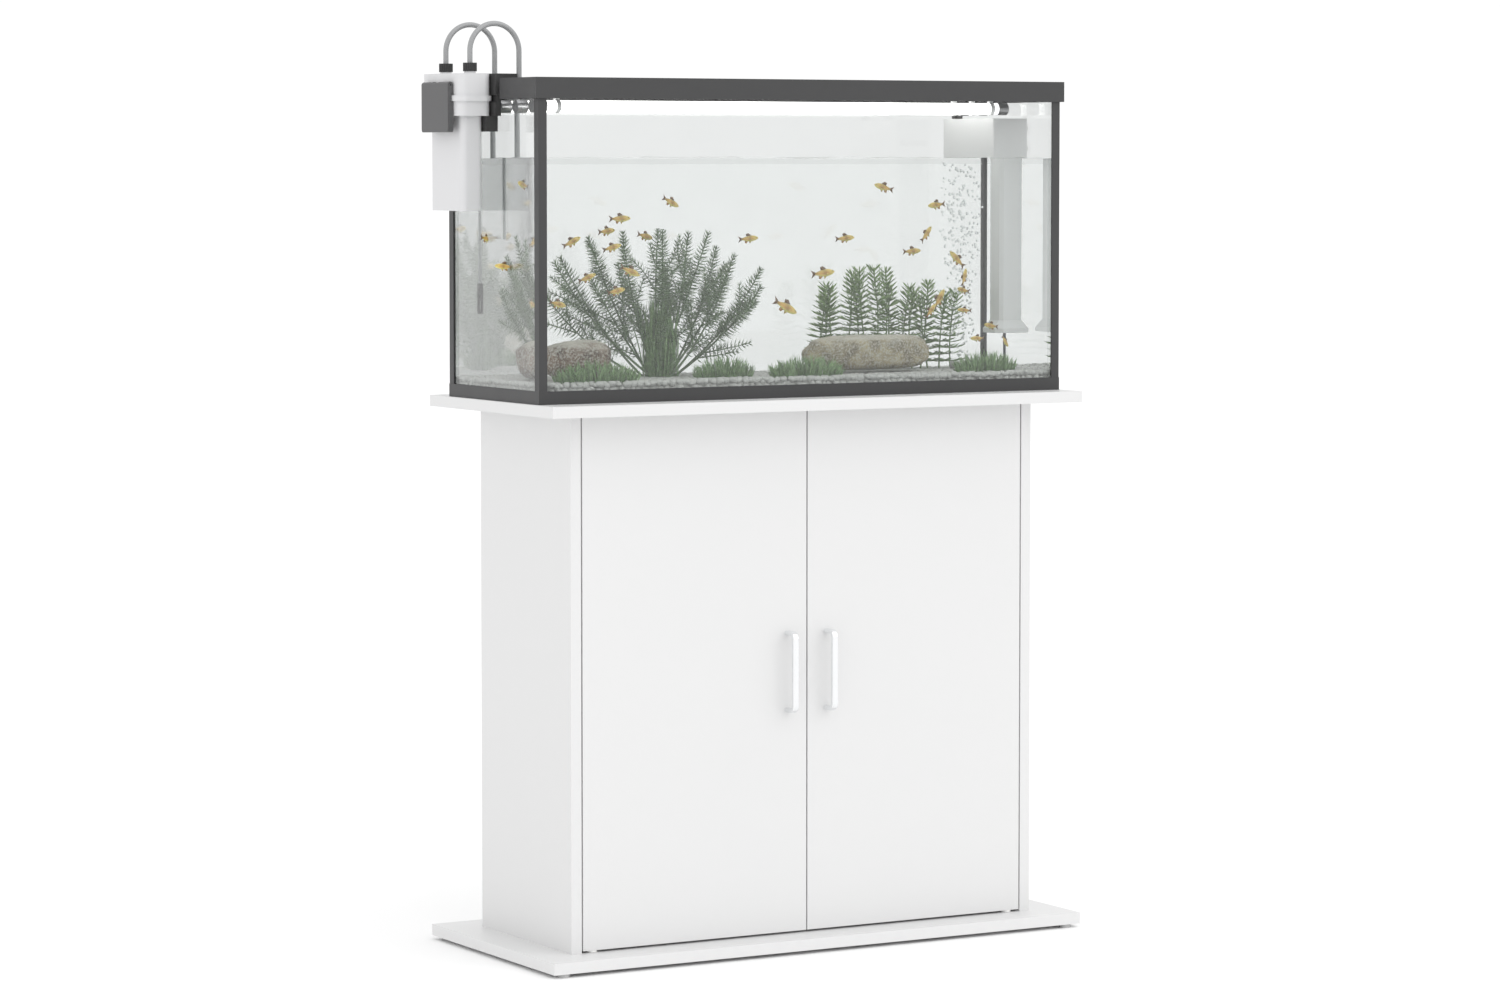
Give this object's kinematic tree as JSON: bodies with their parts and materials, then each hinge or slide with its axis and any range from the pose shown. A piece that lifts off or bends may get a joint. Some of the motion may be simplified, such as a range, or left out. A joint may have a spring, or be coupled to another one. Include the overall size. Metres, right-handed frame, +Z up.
{
  "type": "aquarium on stand",
  "caption": "Glass aquarium with lift-off lamp hood, hang-on and inner filters, pebbles, rocks and plants, on a two-door cabinet stand.",
  "frame": {"origin": "on the floor, under the middle of the whole object's outline, the hang-on filter at the left included; the stand's own middle is 29 mm to the right of it", "axes": "+X to the object's right seen from the front, +Y to the back, +Z up; the doors face -Y"},
  "size_m": [0.863, 0.355, 1.2215],
  "materials": {
    "white_board": "white melamine-faced chipboard, satin",
    "back_sheet": "white-faced hardboard, satin",
    "bright_aluminium": "bright satin",
    "steel": "bright zinc plated",
    "zinc": "die-cast zinc, matt",
    "nylon": "natural nylon",
    "grey_glide": "grey moulded",
    "dark_frame": "dark grey moulded, satin",
    "clear_glass": "clear float glass",
    "lamp_glass": "opal white, lit",
    "white_plastic": "white moulded, satin gloss",
    "latch_grey": "mid grey moulded",
    "black_plastic": "black moulded",
    "grey_pipe": "smoke grey",
    "seal_rubber": "matt black",
    "clear_rubber": "translucent",
    "sponge": "open foam",
    "motor_resin": "potted black resin",
    "rotor": "bonded magnet and moulded blades",
    "shaft_ceramic": "polished white",
    "pale_grey_plastic": "pale grey moulded",
    "air_hose": "dark semi-clear",
    "porous_stone": "porous",
    "pebbles": "washed pebbles",
    "rock": "rough, weathered",
    "leaf_green": "planted greenery"
  },
  "bodies": {
    "root": {"air_riser": "air_hose", "air_stone": "porous_stone", "back_glass": "clear_glass", "back_panel": "back_sheet", "base_frame": "dark_frame", "bottom_board": "white_board", "bottom_glass": "clear_glass", "cam_fittings": "zinc", "canister_seal": "seal_rubber", "centre_divider": "white_board", "corner_trims": "dark_frame", "door_magnets": "nylon", "filter_canister": "white_plastic", "filter_head": "white_plastic", "filter_sponge": "sponge", "front_glass": "clear_glass", "gland_nuts": "black_plastic", "glide_feet": "grey_glide", "grass_tufts": "leaf_green", "gravel_bed": "pebbles", "hinge_pins": "steel", "impeller_shafts": "shaft_ceramic", "inner_filter_box": "pale_grey_plastic", "inner_filter_column": "pale_grey_plastic", "intake_pipe": "grey_pipe", "intake_strainer": "black_plastic", "latch_pin": "steel", "left_glass": "clear_glass", "left_side_panel": "white_board", "outlet_pipe": "grey_pipe", "plant_bush": "leaf_green", "plant_stems": "leaf_green", "pump_stators": "motor_resin", "right_glass": "clear_glass", "right_side_panel": "white_board", "rim_bracket": "dark_frame", "rocks": "rock", "shelf_pins": "steel", "shelves": "white_board", "suction_cups": "clear_rubber", "top_board": "white_board"},
    "left_door": {"left_door": "white_board", "left_handle": "bright_aluminium", "left_handle_screws": "steel", "left_hinge_bushes": "nylon"},
    "right_door": {"right_door": "white_board", "right_handle": "bright_aluminium", "right_handle_screws": "steel", "right_hinge_bushes": "nylon"},
    "hood": {"hood": "dark_frame", "hood_skirt": "dark_frame", "flap_pins": "steel", "lamp_tubes": "lamp_glass", "lamp_end_caps": "bright_aluminium", "lamp_clips": "white_plastic"},
    "feeding_flap": {"feeding_flap": "dark_frame"},
    "filter_latch": {"filter_latch": "latch_grey"},
    "pump_impeller": {"pump_impeller": "rotor"},
    "inner_impeller": {"inner_impeller": "rotor"},
    "inner_filter_knob": {"inner_filter_knob": "black_plastic"}
  },
  "joints": [
    {"name": "left_door_hinge", "type": "hinge", "parent": "root", "child": "left_door", "pos_m": [-0.28994, -0.1205, 0.369], "axis": [0, 0, -1], "range_deg": [0, 110]},
    {"name": "right_door_hinge", "type": "hinge", "parent": "root", "child": "right_door", "pos_m": [0.34794, -0.1205, 0.369], "axis": [0, 0, 1], "range_deg": [0, 110]},
    {"name": "hood_lift", "type": "slide", "parent": "root", "child": "hood", "axis": [0, 0, 1], "range_m": [0, 0.08]},
    {"name": "feeding_flap_hinge", "type": "hinge", "parent": "hood", "child": "feeding_flap", "pos_m": [0.029, -0.006, 1.146], "axis": [-1, 0, 0], "range_deg": [0, 100]},
    {"name": "filter_latch_hinge", "type": "hinge", "parent": "root", "child": "filter_latch", "pos_m": [-0.4275, 0.0405, 1.1384], "axis": [0, 1, 0], "range_deg": [0, 60]},
    {"name": "pump_impeller_spin", "type": "hinge", "parent": "root", "child": "pump_impeller", "pos_m": [-0.3985, 0.0434, 1.1135], "axis": [0, 0, 1], "continuous": true},
    {"name": "inner_impeller_spin", "type": "hinge", "parent": "root", "child": "inner_impeller", "pos_m": [0.3865, 0, 1.0495], "axis": [0, 0, 1], "continuous": true},
    {"name": "flow_knob_turn", "type": "hinge", "parent": "root", "child": "inner_filter_knob", "pos_m": [0.366, 0.03, 1.098], "axis": [0, 0, 1], "range_deg": [-90, 90]}
  ]
}
